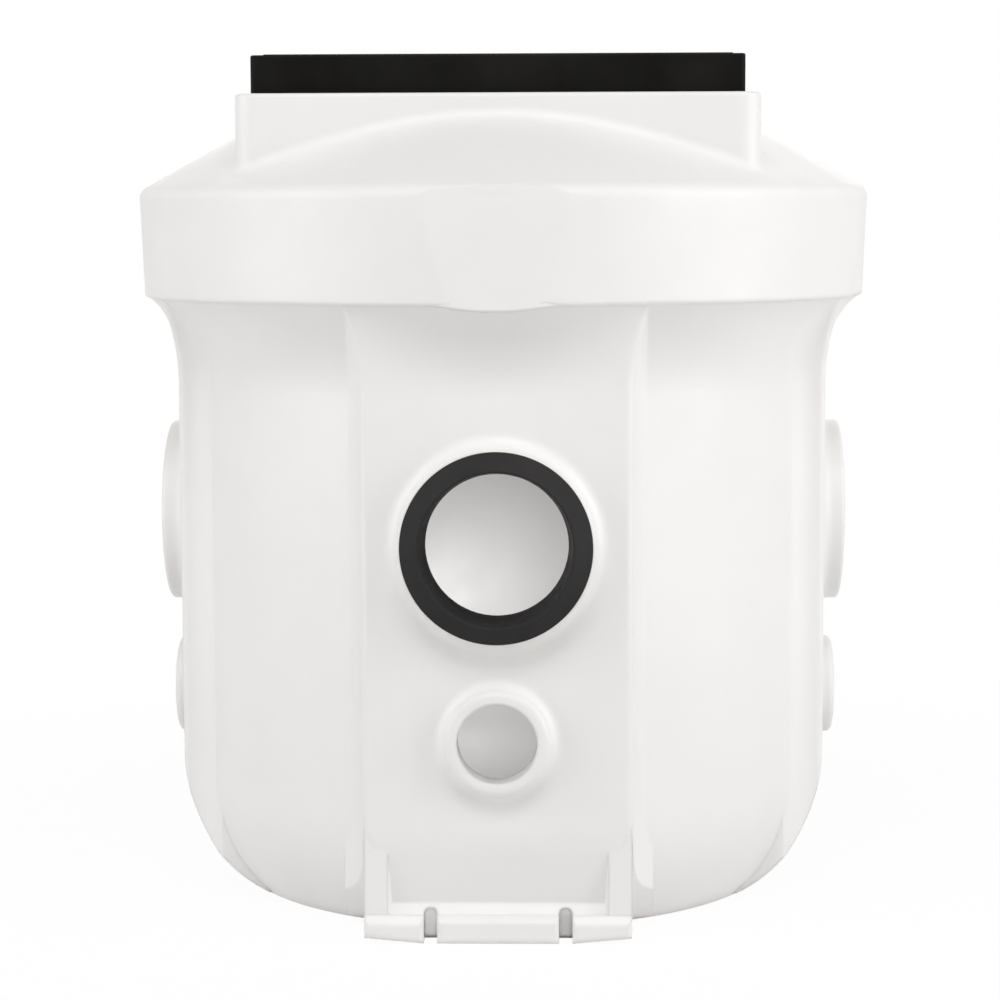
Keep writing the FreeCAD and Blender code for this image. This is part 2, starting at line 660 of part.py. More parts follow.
def make_lid():
    """Lid tray: a skin with a rim, ribs, screw bosses and two recessed grips with bars."""
    shape = round_top(square_prism(LID_HALF, LID_EDGE_R, LID_BOTTOM, LID_TOP), LID_EDGE_R, LID_TOP)
    pocket = LID_HALF - LID_RIM
    shape = shape.cut(block(-pocket, pocket, -pocket, pocket, LID_BOTTOM - 1, LID_TOP - LID_SKIN))
    ribs_z = LID_BOTTOM + GASKET_T
    for i in (-2, -1, 0, 1, 2):
        a, b = i * LID_RIB_PITCH - LID_RIB_W / 2, i * LID_RIB_PITCH + LID_RIB_W / 2
        shape = shape.fuse([
            block(a, b, -pocket, pocket, ribs_z, LID_TOP - LID_SKIN),
            block(-pocket, pocket, a, b, ribs_z, LID_TOP - LID_SKIN)])
    for x, y in ring_places(4, LID_SCREW_AT * math.sqrt(2), 0.0, 0.0):
        shape = shape.fuse(post(LID_BOSS_R, LID_BOTTOM, LID_TOP - LID_SKIN, x, y))
        shape = shape.cut(post(LID_SCREW_R, LID_BOTTOM - 1, LID_TOP + 1, x, y))
        shape = shape.cut(post(LID_HEAD_R, LID_TOP - LID_HEAD_T, LID_TOP + 1, x, y))
    for x in (-GRIP_OUT, GRIP_OUT):
        half_w, half_l, t = GRIP_W / 2, GRIP_L / 2, LID_SKIN / 2
        cup = block(
            x - half_w - t, x + half_w + t, -half_l - t, half_l + t, LID_BOTTOM + t - 1, LID_TOP - LID_SKIN)
        shape = shape.fuse(cup)
        shape = shape.cut(block(x - half_w, x + half_w, -half_l, half_l, LID_TOP - GRIP_DEPTH, LID_TOP + 1))
        bar = Part.makeCylinder(GRIP_BAR_R, GRIP_L, V(x, -half_l, LID_TOP - GRIP_BAR_R - 0.5), V(0, 1, 0))
        shape = shape.fuse(bar)
    return shape.removeSplitter()


def make_lid_gasket():
    out = FRAME_IN_HALF
    shape = block(-out, out, -out, out, LEDGE_TOP, LEDGE_TOP + GASKET_T)
    return shape.cut(block(
        -out + GASKET_W, out - GASKET_W, -out + GASKET_W, out - GASKET_W,
        LEDGE_TOP - 1, LEDGE_TOP + GASKET_T + 1))


def make_lid_screws():
    """Four cap screws with a hexagon socket, one per corner of the lid."""
    head_z = LID_TOP - LID_HEAD_T
    screws = []
    for x, y in ring_places(4, LID_SCREW_AT * math.sqrt(2), 0.0, 0.0):
        screw = post(LID_HEAD_R, head_z, LID_TOP - 0.5, x, y)
        screw = screw.fuse(post(LID_SCREW_R, LEDGE_TOP - INSERT_T + 1, head_z, x, y))
        screws.append(screw.cut(hexagon(LID_SCREW_R, LID_TOP - 0.7 * LID_HEAD_T, LID_TOP, x, y)))
    return Part.Compound(screws)


def make_lid_inserts():
    """Threaded bushes for the lid screws, in the corner pads of the frame."""
    bore = LID_SCREW_R + SLIDE_GAP
    places = ring_places(4, LID_SCREW_AT * math.sqrt(2), 0.0, 0.0)
    return Part.Compound([tube(INSERT_R, bore, LEDGE_TOP - INSERT_T, LEDGE_TOP, x, y) for x, y in places])


def hexagon(half, z0, z1, x, y):
    """Upright hexagon bar, half across flats."""
    corner = half / math.cos(math.pi / 6)
    points = [V(px, py, z0) for px, py in ring_places(6, corner, x, y, 0.0)]
    return Part.Face(Part.makePolygon(points + points[:1])).extrude(UP * (z1 - z0))


def make_strainer():
    """Tapered intake cage that the pump stands on, with slots all round."""
    top = STRAINER_TOP
    r, foot_r, t = PUMP_R, STRAINER_FOOT_R, STRAINER_T
    shape = turned([
        (foot_r - 4 * t, WALL), (foot_r, WALL), (r, top - t), (r, top),
        (EYE_R, top), (EYE_R, top - t), (r - 2 * t, top - t), (foot_r - t, WALL + t),
        (foot_r - 4 * t, WALL + t),
    ], PUMP_X, PUMP_Y)
    slot = block(0, r + t, -STRAINER_SLOT_W / 2, STRAINER_SLOT_W / 2, WALL + 2 * t, top - 2 * t)
    for i in range(STRAINER_SLOTS):
        cut = slot.copy()
        cut.rotate(V(0, 0, 0), UP, 360.0 * i / STRAINER_SLOTS)
        cut.translate(V(PUMP_X, PUMP_Y, 0))
        shape = shape.cut(cut)
    return shape


def make_volute():
    """Pump casing: a round chamber with the inlet eye below and a tangent nozzle at the back."""
    z0, z1 = STRAINER_TOP, VOLUTE_TOP
    nozzle = Part.makeCylinder(NOZZLE_R, NOZZLE_Y - PUMP_Y, V(NOZZLE_X, PUMP_Y, NOZZLE_Z), V(0, 1, 0))
    bore = Part.makeCylinder(PIPE_BORE_R, NOZZLE_Y - PUMP_Y, V(NOZZLE_X, PUMP_Y, NOZZLE_Z), V(0, 1, 0))
    chamber = post(PUMP_R - VOLUTE_WALL, z0 + VOLUTE_FLOOR, z1, PUMP_X, PUMP_Y)
    shape = post(PUMP_R, z0, z1, PUMP_X, PUMP_Y).fuse(nozzle)
    shape = shape.cut([chamber, bore, post(EYE_R, z0, z1, PUMP_X, PUMP_Y)])
    for x, y in ring_places(PUMP_SCREWS, FLANGE_SCREW_AT, PUMP_X, PUMP_Y):
        shape = shape.cut(post(PUMP_SCREW_R, z1 - SCREW_GRIP, z1, x, y))
    return shape


def make_impeller():
    """Vortex impeller: a plate with curved vanes under it and a hub for the shaft."""
    z0, z1 = IMPELLER_Z, IMPELLER_TOP
    shape = post(IMPELLER_R, z1 - IMPELLER_PLATE_T, z1, PUMP_X, PUMP_Y)
    shape = shape.fuse(post(HUB_R, z0, z1, PUMP_X, PUMP_Y))
    reach = IMPELLER_R - VANE_T
    vane = tube(reach / 2 + VANE_T, reach / 2, z0, z1 - IMPELLER_PLATE_T, PUMP_X + reach / 2, PUMP_Y)
    vane = vane.common(block(
        PUMP_X - IMPELLER_R, PUMP_X + IMPELLER_R, PUMP_Y, PUMP_Y + IMPELLER_R, z0, z1 - IMPELLER_PLATE_T))
    for i in range(VANES):
        blade = vane.copy()
        blade.rotate(V(PUMP_X, PUMP_Y, 0), UP, 360.0 * i / VANES)
        shape = shape.fuse(blade)
    shape = shape.common(post(IMPELLER_R, z0, z1, PUMP_X, PUMP_Y))
    return shape.cut(post(SHAFT_R, z0, z1, PUMP_X, PUMP_Y)).removeSplitter()


def make_shaft():
    """Motor shaft, with a nut that holds the impeller from below."""
    nut = hexagon(HUB_R - VANE_T, IMPELLER_Z - IMPELLER_GAP + 1, IMPELLER_Z, PUMP_X, PUMP_Y)
    return post(SHAFT_R, IMPELLER_Z - IMPELLER_GAP, MOTOR_TOP - SCREW_GRIP, PUMP_X, PUMP_Y).fuse(nut)


def make_seal_flange():
    """Flange between the casing and the motor, with the seat of the shaft seal."""
    shape = tube(PUMP_R, SHAFT_SEAL_R, VOLUTE_TOP, FLANGE_TOP, PUMP_X, PUMP_Y)
    for x, y in ring_places(PUMP_SCREWS, FLANGE_SCREW_AT, PUMP_X, PUMP_Y):
        shape = shape.cut(post(PUMP_SCREW_R, VOLUTE_TOP, FLANGE_TOP, x, y))
    return shape


def make_shaft_seal():
    return tube(SHAFT_SEAL_R, SHAFT_R + SHAFT_GAP, VOLUTE_TOP, FLANGE_TOP, PUMP_X, PUMP_Y)


def make_motor():
    """Sealed motor can with a blind bore for the shaft."""
    shape = post(MOTOR_R, FLANGE_TOP, MOTOR_TOP, PUMP_X, PUMP_Y)
    shaft_end = MOTOR_TOP - SCREW_GRIP + SHAFT_GAP
    shape = shape.cut(post(SHAFT_R + SHAFT_GAP, FLANGE_TOP, shaft_end, PUMP_X, PUMP_Y))
    for x, y in ring_places(PUMP_SCREWS, CAP_SCREW_AT, PUMP_X, PUMP_Y):
        shape = shape.cut(post(PUMP_SCREW_R, MOTOR_TOP - SCREW_GRIP, MOTOR_TOP, x, y))
    return shape


def make_motor_cap():
    """Domed cap that closes the motor and carries the handle."""
    dome_top = CAP_TOP + DOME_H
    edge = DOME_H / 2
    shape = turned([
        (0.0, MOTOR_TOP), (CAP_R, MOTOR_TOP), (CAP_R, CAP_TOP - 2), (CAP_R - 2, CAP_TOP), (DOME_R, CAP_TOP),
        (DOME_R - 3, dome_top - edge), (DOME_R - 3 - edge, dome_top), (0.0, dome_top),
    ], PUMP_X, PUMP_Y)
    for x, y in ring_places(PUMP_SCREWS, CAP_SCREW_AT, PUMP_X, PUMP_Y):
        shape = shape.cut(post(PUMP_SCREW_R, MOTOR_TOP, CAP_TOP, x, y))
    return shape


def pump_screw_ring(at, head_z):
    """Ring of hexagon screws with their heads on the face at head_z."""
    screws = []
    for x, y in ring_places(PUMP_SCREWS, at, PUMP_X, PUMP_Y):
        head = hexagon(PUMP_HEAD_R * math.cos(math.pi / 6), head_z, head_z + PUMP_HEAD_T, x, y)
        screws.append(head.fuse(post(PUMP_SCREW_R, head_z - CAP_T - SCREW_GRIP / 2, head_z, x, y)))
    return screws


def make_carry_handle():
    """Bent bar over the cap, by which the pump is lifted out."""
    y, z = PUMP_Y, CAP_TOP
    left, right = PUMP_X - HANDLE_HALF, PUMP_X + HANDLE_HALF
    points = [V(left, y, z), V(left, y, z + HANDLE_H), V(right, y, z + HANDLE_H), V(right, y, z)]
    return bent_pipe(points, HANDLE_BEND_R, HANDLE_R, HANDLE_R / 3)


def make_pump_gland():
    """Cable inlet on the motor cap, clear of the handle."""
    z = CAP_TOP + DOME_H
    top = z + PUMP_GLAND_H
    return turned([
        (0.0, z), (PUMP_GLAND_R, z), (PUMP_GLAND_R, top - 4), (PUMP_GLAND_R - 2, top),
        (PUMP_GLAND_HOLE_R, top), (PUMP_GLAND_HOLE_R, z + 2), (0.0, z + 2),
    ], PUMP_X, PUMP_Y - PUMP_GLAND_OUT)


def make_union_nut():
    """Hexagon nut that joins the elbow to the pump's nozzle."""
    start = NOZZLE_Y - UNION_LENGTH / 2
    bar = hexagon(UNION_HALF, 0, UNION_LENGTH, 0, 0)
    bar = bar.cut([post(NOZZLE_R, 0, UNION_LENGTH / 2, 0, 0), post(PIPE_R, 0, UNION_LENGTH, 0, 0)])
    bar.rotate(V(0, 0, 0), V(1, 0, 0), -90)
    bar.translate(V(NOZZLE_X, start, NOZZLE_Z))
    return bar


def make_elbow():
    points = [V(NOZZLE_X, NOZZLE_Y, NOZZLE_Z), V(NOZZLE_X, RISER_Y, NOZZLE_Z), V(NOZZLE_X, RISER_Y, VALVE_Z)]
    return bent_pipe(points, PIPE_BEND_R, PIPE_R, PIPE_BORE_R)


def valve_holes(shape, z0, z1):
    for x, y in ring_places(VALVE_SCREWS, VALVE_SCREW_AT, NOZZLE_X, RISER_Y):
        shape = shape.cut(post(VALVE_SCREW_R, z0, z1, x, y))
    return shape


def make_valve_body():
    """Lower half of the check valve: pipe socket, raised seat, chamber and flange."""
    seat_z = VALVE_Z + SEAT_T
    shape = turned([
        (PIPE_R, VALVE_Z - SOCKET_DEPTH), (SOCKET_R, VALVE_Z - SOCKET_DEPTH), (SOCKET_R, VALVE_Z),
        (CHAMBER_OUT_R, VALVE_Z + SEAT_T / 2), (CHAMBER_OUT_R, VALVE_TOP - VALVE_FLANGE_T),
        (VALVE_FLANGE_R, VALVE_TOP - VALVE_FLANGE_T), (VALVE_FLANGE_R, VALVE_TOP), (CHAMBER_R, VALVE_TOP),
        (CHAMBER_R, seat_z), (SEAT_R + SEAT_RING, seat_z), (SEAT_R + SEAT_RING, SEAT_TOP), (SEAT_R, SEAT_TOP),
        (SEAT_R, VALVE_Z), (PIPE_R, VALVE_Z),
    ], NOZZLE_X, RISER_Y)
    shape = valve_holes(shape, VALVE_TOP - VALVE_FLANGE_T, VALVE_TOP)
    return shape.cut(hinge_pin())


def hinge_pin(extra=0.0, half=0.0):
    """Hinge pin of the flap, across the chamber into both walls."""
    reach = half or math.sqrt(CHAMBER_OUT_R ** 2 - HINGE_OFFSET ** 2) - CHAMBER_WALL / 2
    return Part.makeCylinder(HINGE_R + extra, 2 * reach, V(NOZZLE_X - reach, HINGE_Y, HINGE_Z), V(1, 0, 0))


def make_flap():
    """Swing flap: a disc on the seat, with an arm and a knuckle on the hinge pin."""
    z0 = SEAT_TOP + FLAP_GAP
    disc = post(FLAP_R, z0, z0 + FLAP_T, NOZZLE_X, RISER_Y)
    arm = block(
        NOZZLE_X - FLAP_ARM_W / 2, NOZZLE_X + FLAP_ARM_W / 2, RISER_Y, HINGE_Y, z0 + FLAP_T / 2,
        HINGE_Z + HINGE_KNUCKLE_R / 2)
    knuckle = hinge_pin(HINGE_KNUCKLE_R - HINGE_R, HINGE_KNUCKLE_HALF)
    return disc.fuse([arm, knuckle]).cut(hinge_pin(HINGE_GAP)).removeSplitter()


def make_valve_gasket():
    return tube(VALVE_SCREW_AT - VALVE_SCREW_R - 1, CHAMBER_R, VALVE_TOP, BONNET_Z, NOZZLE_X, RISER_Y)


def make_valve_bonnet():
    """Upper half of the check valve, narrowing to the socket of the discharge pipe."""
    taper_z = BONNET_Z + BONNET_H
    shape = turned([
        (CHAMBER_R, BONNET_Z), (VALVE_FLANGE_R, BONNET_Z), (VALVE_FLANGE_R, BONNET_Z + VALVE_FLANGE_T),
        (CHAMBER_OUT_R, BONNET_Z + VALVE_FLANGE_T), (CHAMBER_OUT_R, taper_z),
        (SOCKET_R, taper_z + BONNET_TAPER * 0.6), (SOCKET_R, BONNET_TOP + SOCKET_DEPTH),
        (PIPE_R, BONNET_TOP + SOCKET_DEPTH), (PIPE_R, BONNET_TOP), (PIPE_BORE_R, BONNET_TOP),
        (PIPE_BORE_R, BONNET_TOP - SOCKET_T / 2), (CHAMBER_R, taper_z),
    ], NOZZLE_X, RISER_Y)
    return valve_holes(shape, BONNET_Z, BONNET_Z + VALVE_FLANGE_T)


def make_valve_screws():
    """Screws and nuts through the two valve flanges."""
    top = BONNET_Z + VALVE_FLANGE_T
    low = VALVE_TOP - VALVE_FLANGE_T
    flats = VALVE_HEAD_R * math.cos(math.pi / 6)
    screws = []
    for x, y in ring_places(VALVE_SCREWS, VALVE_SCREW_AT, NOZZLE_X, RISER_Y):
        screw = post(VALVE_SCREW_R, low, top, x, y)
        head = hexagon(flats, top, top + VALVE_HEAD_T, x, y)
        nut = hexagon(flats, low - VALVE_HEAD_T, low, x, y)
        screws.append(screw.fuse([head, nut]).removeSplitter())
    return Part.Compound(screws)


def make_discharge_pipe():
    """Pipe from the check valve up, across and out through the back of the tank, with a stop bead there."""
    points = [
        V(NOZZLE_X, RISER_Y, BONNET_TOP),
        V(NOZZLE_X, RISER_Y, OUTLET_Z),
        V(OUTLET_X, RISER_Y + OUTLET_TURN, OUTLET_Z),
        V(OUTLET_X, PANEL_OUT + OUTLET_STUB, OUTLET_Z),
    ]
    pipe = bent_pipe(points, PIPE_BEND_R, PIPE_R, PIPE_BORE_R)
    start = PANEL_OUT + GROMMET_LIP_T
    middle = (PIPE_R + PIPE_BORE_R) / 2
    bead = turned_level([
        (middle, start), (BEAD_R, start), (BEAD_R, start + BEAD_T), (middle, start + BEAD_T),
    ], -OUTLET_X, OUTLET_Z, BACK)
    return pipe.fuse(bead)


def make_outlet_grommet():
    """Rubber grommet that seals the discharge pipe in the back panel."""
    lip_r = GROMMET_R + GROMMET_LIP
    inside, outside = PANEL_OUT - WALL, PANEL_OUT
    return turned_level([
        (PIPE_R, inside - GROMMET_LIP_T), (lip_r, inside - GROMMET_LIP_T), (lip_r, inside),
        (GROMMET_R, inside),
        (GROMMET_R, outside), (lip_r, outside), (lip_r - 1, outside + GROMMET_LIP_T),
        (PIPE_R, outside + GROMMET_LIP_T),
    ], -OUTLET_X, OUTLET_Z, BACK)


def make_cable_gland():
    """Gland for the cables: thread through the panel, flange and domed nut with a blind hole."""
    inside = PANEL_OUT - WALL - GLAND_NUT_T
    flange = PANEL_OUT + GLAND_FLANGE_T
    end = flange + GLAND_DOME_H
    return turned_level([
        (0.0, inside), (GLAND_R, inside), (GLAND_R, PANEL_OUT), (GLAND_FLANGE_R, PANEL_OUT),
        (GLAND_FLANGE_R, flange), (GLAND_DOME_R, flange), (GLAND_DOME_R, end - 4), (GLAND_DOME_R - 4, end),
        (GLAND_HOLE_R, end), (GLAND_HOLE_R, flange), (0.0, flange),
    ], -GLAND_X, OUTLET_Z, BACK)


def make_gland_nut():
    nut = hexagon(GLAND_FLANGE_R * math.cos(math.pi / 6), 0, GLAND_NUT_T, 0, 0)
    nut = nut.cut(post(GLAND_R, 0, GLAND_NUT_T, 0, 0))
    nut.rotate(V(0, 0, 0), V(1, 0, 0), 90)
    nut.translate(V(GLAND_X, PANEL_OUT - WALL, OUTLET_Z))
    return nut


def make_float_clamp():
    """Band round the motor with an arm that holds the float's rod."""
    z1 = CLAMP_Z + CLAMP_H
    arm_end = V(FLOAT_X, FLOAT_Y, 0)
    centre = V(PUMP_X, PUMP_Y, 0)
    length = (arm_end - centre).Length
    arm = block(MOTOR_R, length, -CLAMP_ARM_W / 2, CLAMP_ARM_W / 2, CLAMP_Z, z1)
    arm.rotate(V(0, 0, 0), UP, math.degrees(math.atan2(FLOAT_Y - PUMP_Y, FLOAT_X - PUMP_X)))
    arm.translate(centre)
    shape = post(MOTOR_R + CLAMP_T, CLAMP_Z, z1, PUMP_X, PUMP_Y)
    shape = shape.fuse([arm, post(ROD_R + CLAMP_T, CLAMP_Z, z1, FLOAT_X, FLOAT_Y)])
    cuts = [post(MOTOR_R, CLAMP_Z, z1, PUMP_X, PUMP_Y), post(ROD_R, CLAMP_Z, z1, FLOAT_X, FLOAT_Y)]
    return shape.cut(cuts).removeSplitter()


def make_float_rod():
    """Rod of the float, with the collar that it rests on."""
    low = FLOAT_Z - FLOAT_GAP - COLLAR_H
    rod = post(ROD_R, low, ROD_TOP, FLOAT_X, FLOAT_Y)
    return rod.fuse(post(COLLAR_R, low, low + COLLAR_H, FLOAT_X, FLOAT_Y))


def make_float():
    """Ring float with round edges, at the low end of its rod."""
    r, e, mid = FLOAT_R, FLOAT_EDGE_R, FLOAT_EDGE_R * (1 - math.sqrt(0.5))
    z0, z1 = FLOAT_Z, FLOAT_Z + FLOAT_H
    bore = ROD_R + FLOAT_GAP
    return turned([
        (bore, z0), (r - e, z0), (r, z0 + e, r - mid, z0 + mid), (r, z1 - e),
        (r - e, z1, r - mid, z1 - mid), (bore, z1),
    ], FLOAT_X, FLOAT_Y)


def make_switch_head():
    """Switch housing on top of the rod."""
    z0 = ROD_TOP - SWITCH_GRIP
    shape = round_top(square_prism(SWITCH_HALF, SWITCH_CORNER_R, z0, z0 + SWITCH_H), 3.0, z0 + SWITCH_H)
    shape.translate(V(FLOAT_X, FLOAT_Y, 0))
    return shape.cut(post(ROD_R, z0, ROD_TOP, FLOAT_X, FLOAT_Y))


NODES = {
    "tank": make_tank,
    "inlet_seal": make_inlet_seal,
    "frame": make_frame,
    "frame_strip": make_frame_strip,
    "lid": make_lid,
    "lid_gasket": make_lid_gasket,
    "lid_screws": make_lid_screws,
    "lid_inserts": make_lid_inserts,
    "strainer": make_strainer,
    "volute": make_volute,
    "impeller": make_impeller,
    "shaft": make_shaft,
    "seal_flange": make_seal_flange,
    "shaft_seal": make_shaft_seal,
    "motor": make_motor,
    "motor_cap": make_motor_cap,
    "flange_screws": lambda: Part.Compound(pump_screw_ring(FLANGE_SCREW_AT, FLANGE_TOP)),
    "cap_screws": lambda: Part.Compound(pump_screw_ring(CAP_SCREW_AT, CAP_TOP)),
    "carry_handle": make_carry_handle,
    "pump_gland": make_pump_gland,
    "union_nut": make_union_nut,
    "elbow": make_elbow,
    "valve_body": make_valve_body,
    "flap": make_flap,
    "flap_pin": hinge_pin,
    "valve_gasket": make_valve_gasket,
    "valve_bonnet": make_valve_bonnet,
    "valve_screws": make_valve_screws,
    "discharge_pipe": make_discharge_pipe,
    "outlet_grommet": make_outlet_grommet,
    "cable_gland": make_cable_gland,
    "gland_nut": make_gland_nut,
    "float_clamp": make_float_clamp,
    "float_rod": make_float_rod,
    "float": make_float,
    "switch_head": make_switch_head,
}

os.makedirs("parts", exist_ok=True)
for node, make in NODES.items():
    make().exportStep("parts/" + node + ".step")
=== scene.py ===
"""Sewage pumping station: finishes, moulded details and studio stage, laid out as a Blender add-on."""

import math

import bpy
from mathutils import Matrix, Vector


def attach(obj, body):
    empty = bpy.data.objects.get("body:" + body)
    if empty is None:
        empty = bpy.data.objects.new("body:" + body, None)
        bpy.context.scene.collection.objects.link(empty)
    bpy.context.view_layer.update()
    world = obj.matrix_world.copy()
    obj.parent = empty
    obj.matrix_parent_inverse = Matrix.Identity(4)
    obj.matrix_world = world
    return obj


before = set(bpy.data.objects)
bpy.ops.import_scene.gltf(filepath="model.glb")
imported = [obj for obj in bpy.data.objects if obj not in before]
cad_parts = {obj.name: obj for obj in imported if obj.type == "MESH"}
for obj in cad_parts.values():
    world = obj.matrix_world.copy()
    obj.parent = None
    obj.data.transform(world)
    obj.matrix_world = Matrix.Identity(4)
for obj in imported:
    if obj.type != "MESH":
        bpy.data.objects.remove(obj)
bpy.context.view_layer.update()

bl_info = {
    "name": "Sewage Pumping Station",
    "version": (1, 0, 0),
    "blender": (4, 5, 0),
    "location": "View3D > Sidebar > Station",
    "description": "Finishes, moulded details and studio stage for an under-floor sewage pumping station",
    "category": "Object",
}

SENSOR_WIDTH = 36.0

# Foot of the tank in side view: distances from the tank's axis and heights, as in the solids
PANEL_OUT = 0.257
FOOT_OUT = 0.262
BOTTOM_CURVE_R = 0.115
BOTTOM_CURVE_Z = 0.088
FOOT_H = 0.021

# Skirts of the foot: wall, how far the toe is buried, how far the top laps the bottom curve, and the heel
SKIRT_T = 0.004
SKIRT_SINK = 0.005
SKIRT_LAP = math.radians(8.0)
HEEL_OUT = 0.250
HEEL_Z = 0.003

# Radius at a notch's upper corners, as a share of its width
NOTCH_ROUNDING = 0.45

# Lower edge of the tank's band, as in the solids
BAND_LOW_R = 0.294
BAND_LOW_Z = 0.47984
BAND_TAPER = 0.0398
BAND_FLAT_OUT = 0.292
BAND_FLAT_HALF = 0.0342

# Faces along the lip under the band
LIP_STEPS = 24

# Edges of new pieces that are flatter than this look smooth, and points closer than this are level
SMOOTH_ANGLE = math.radians(30.0)
SAME_PLACE = 1e-6

# Soft lamps: name, place, target, width and height
STAGE_MIDDLE = (0.0, 0.0, 0.36)
LAMPS = (
    ("left", (-1.95, -1.0, 1.05), STAGE_MIDDLE, 1.4, 1.8),
    ("right", (1.95, -0.9, 1.0), STAGE_MIDDLE, 1.4, 1.8),
    ("front", (0.0, -2.0, 2.6), STAGE_MIDDLE, 2.0, 1.0),
    ("back", (0.0, 2.4, 1.4), STAGE_MIDDLE, 2.0, 1.4),
    ("inner", (-0.06, 0.03, 0.17), (-0.01, 0.25, 0.22), 0.06, 0.06),
)

# Moulded skins: share of the patches' colour, and swing of the roughness
CLOUD_SHARE = 0.5
ROUGHNESS_SWING = 0.06

# Brushed metal: width and depth of brush lines, swing of the roughness, darkest tone, rounding of edges
BRUSH_WIDTH = 0.0016
BRUSH_DEPTH = 0.00005
BRUSH_SWING = 0.07
BRUSH_DARK = 0.86
METAL_EDGE = 0.0006

# Sockets of a Mix node that mixes colours
MIX_FIRST, MIX_SECOND, MIX_RESULT = 6, 7, 2


def colour_property(name, description, default):
    return bpy.props.FloatVectorProperty(
        name=name, description=description, subtype="COLOR", default=default, min=0.0, max=1.0)


def length_property(name, description, default):
    return bpy.props.FloatProperty(
        name=name, description=description, unit="LENGTH", default=default, min=0.0, precision=4)


def power_property(name, description, default):
    return bpy.props.FloatProperty(
        name=name, description=description, unit="POWER", default=default, min=0.0)


def angle_property(name, description, degrees):
    return bpy.props.FloatProperty(
        name=name, description=description, subtype="ANGLE", default=math.radians(degrees))


class StationFinishes(bpy.types.PropertyGroup):
    """Colours and grain of the station's materials."""

    tank_white: colour_property("Tank white", "Moulded polyethylene of the tank", (0.80, 0.788, 0.777))
    tank_shade: colour_property("Tank shade", "Cloudy patches and scuffs on the tank", (0.74, 0.727, 0.708))
    frame_black: colour_property("Frame black", "Frame, lid and fittings", (0.0045, 0.0042, 0.0038))
    # Lighter black for cloudy patches, and a painted edge highlight on the edges of the black skins
    black_patch_and_highlight: colour_property("Black patches and highlight", "Lighter patches and painted edge highlight on the black plastic", (0.015, 0.0145, 0.0138))
    rubber_black: colour_property("Rubber black", "Seals, strip and gaskets", (0.026, 0.0245, 0.0255))
    rubber_bloom: colour_property("Rubber bloom", "Pale bloom on the rubber", (0.036, 0.034, 0.0355))
    steel: colour_property("Steel", "Stainless steel", (0.58, 0.58, 0.57))
    brass: colour_property("Brass", "Inserts and bushes", (0.70, 0.52, 0.25))
    casting: colour_property("Casting", "Coated pump castings", (0.035, 0.042, 0.05))
    casting_worn: colour_property("Worn casting", "Rubbed edges of the castings", (0.12, 0.12, 0.12))
    pipe_grey: colour_property("Pipe grey", "Pressure pipe and valve", (0.23, 0.25, 0.265))
    pipe_scuffed: colour_property("Scuffed grey", "Scuffs on pipe and valve", (0.33, 0.345, 0.35))
    float_grey: colour_property("Float grey", "Float and its clamp", (0.11, 0.115, 0.12))
    grain: length_property("Grain", "Size of the fine grain of moulded skins", 0.0012)
    edge_softness: length_property("Edge softness", "Radius that moulded edges are rounded by", 0.004)


class StationFeet(bpy.types.PropertyGroup):
    """Skirts that close the tank's panels down to the two ground feet."""

    skirt_half: length_property("Skirt half width", "From the middle to the ribs at the foot's ends", 0.084)
    ledge_height: length_property("Ledge height", "From the floor to the ledge's inner edge", 0.029)
    ledge_setback: length_property("Ledge setback", "From the panel's face to the ledge's inner edge", 0.0105)
    ledge_reach: length_property("Ledge reach", "From the ledge's inner edge to the foot's flat top", 0.005)
    notch_place: length_property("Notch place", "From the middle to each anchor slot", 0.051)
    notch_width: length_property("Notch width", "Width of an anchor slot", 0.010)
    notch_height: length_property("Notch height", "From the floor to the top of an anchor slot", 0.025)
    notch_depth: length_property("Notch depth", "From the foot's face to the end of an anchor slot", 0.015)
    notch_lean: length_property("Notch lean", "How far the slot's end leans out at its top", 0.001)


class StationLip(bpy.types.PropertyGroup):
    """Lip under the flat front of the tank's band."""

    half: length_property("Lip half width", "From the middle to the lip's ends", 0.052)
    flat_half: length_property("Lip flat", "Half the width of the level part of its lower edge", 0.008)
    drop: length_property("Lip drop", "How far it hangs below the band", 0.0042)
    rise: length_property("Lip rise", "How far it reaches up in front of the band", 0.010)
    stand: length_property("Lip stand", "How far its lower edge stands out from the band", 0.00008)
    sink: length_property("Lip sink", "How far its upper edge lies inside the band", 0.00002)
    tuck: bpy.props.FloatProperty(
        name="Lip tuck", description="How steeply its ends run into the band", default=0.1, min=0.0)
    depth: length_property("Lip depth", "From its face back into the wall", 0.0095)


class StationStage(bpy.types.PropertyGroup):
    """Camera, lamps and floor."""

    camera_distance: length_property("Camera distance", "From the tank's axis to the camera", 2.32)
    eye_height: length_property("Eye height", "Height of the camera above the floor", 0.5525)
    turn: angle_property("Turn", "How far the camera stands to the right of the front", 1.3)
    aim: angle_property("Aim", "How far the camera looks past the tank's axis, to the left", 0.09)
    tilt: angle_property("Tilt", "How far the camera looks down", 6.0)
    roll: angle_property("Roll", "How far the camera leans", -0.2)
    lens: bpy.props.FloatProperty(
        name="Lens", description="Focal length", unit="CAMERA", default=100.8, min=1.0)
    left_power: power_property("Left lamp", "Power of the soft lamp at the left", 19.5)
    right_power: power_property("Right lamp", "Power of the soft lamp at the right", 24.0)
    front_power: power_property("Front lamp", "Power of the soft lamp high above the front", 34.0)
    back_power: power_property("Back lamp", "Power of the soft lamp behind", 9.0)
    inner_power: power_property("Inner lamp", "Power of the glow inside the tank", 0.36)
    room_light: bpy.props.FloatProperty(
        name="Room light", description="Strength of the light from all round", default=0.28, min=0.0)
    floor_half: length_property("Floor half width", "From the middle to the edge of the floor", 4.0)
    shadow_reach: length_property("Shadow reach", "Distance at which the floor has faded to white", 1.1)
    shadow: bpy.props.FloatProperty(
        name="Shadow", description="How much of the floor's shadow the picture shows", subtype="FACTOR",
        default=0.05, min=0.0, max=1.0)


# Node material helpers

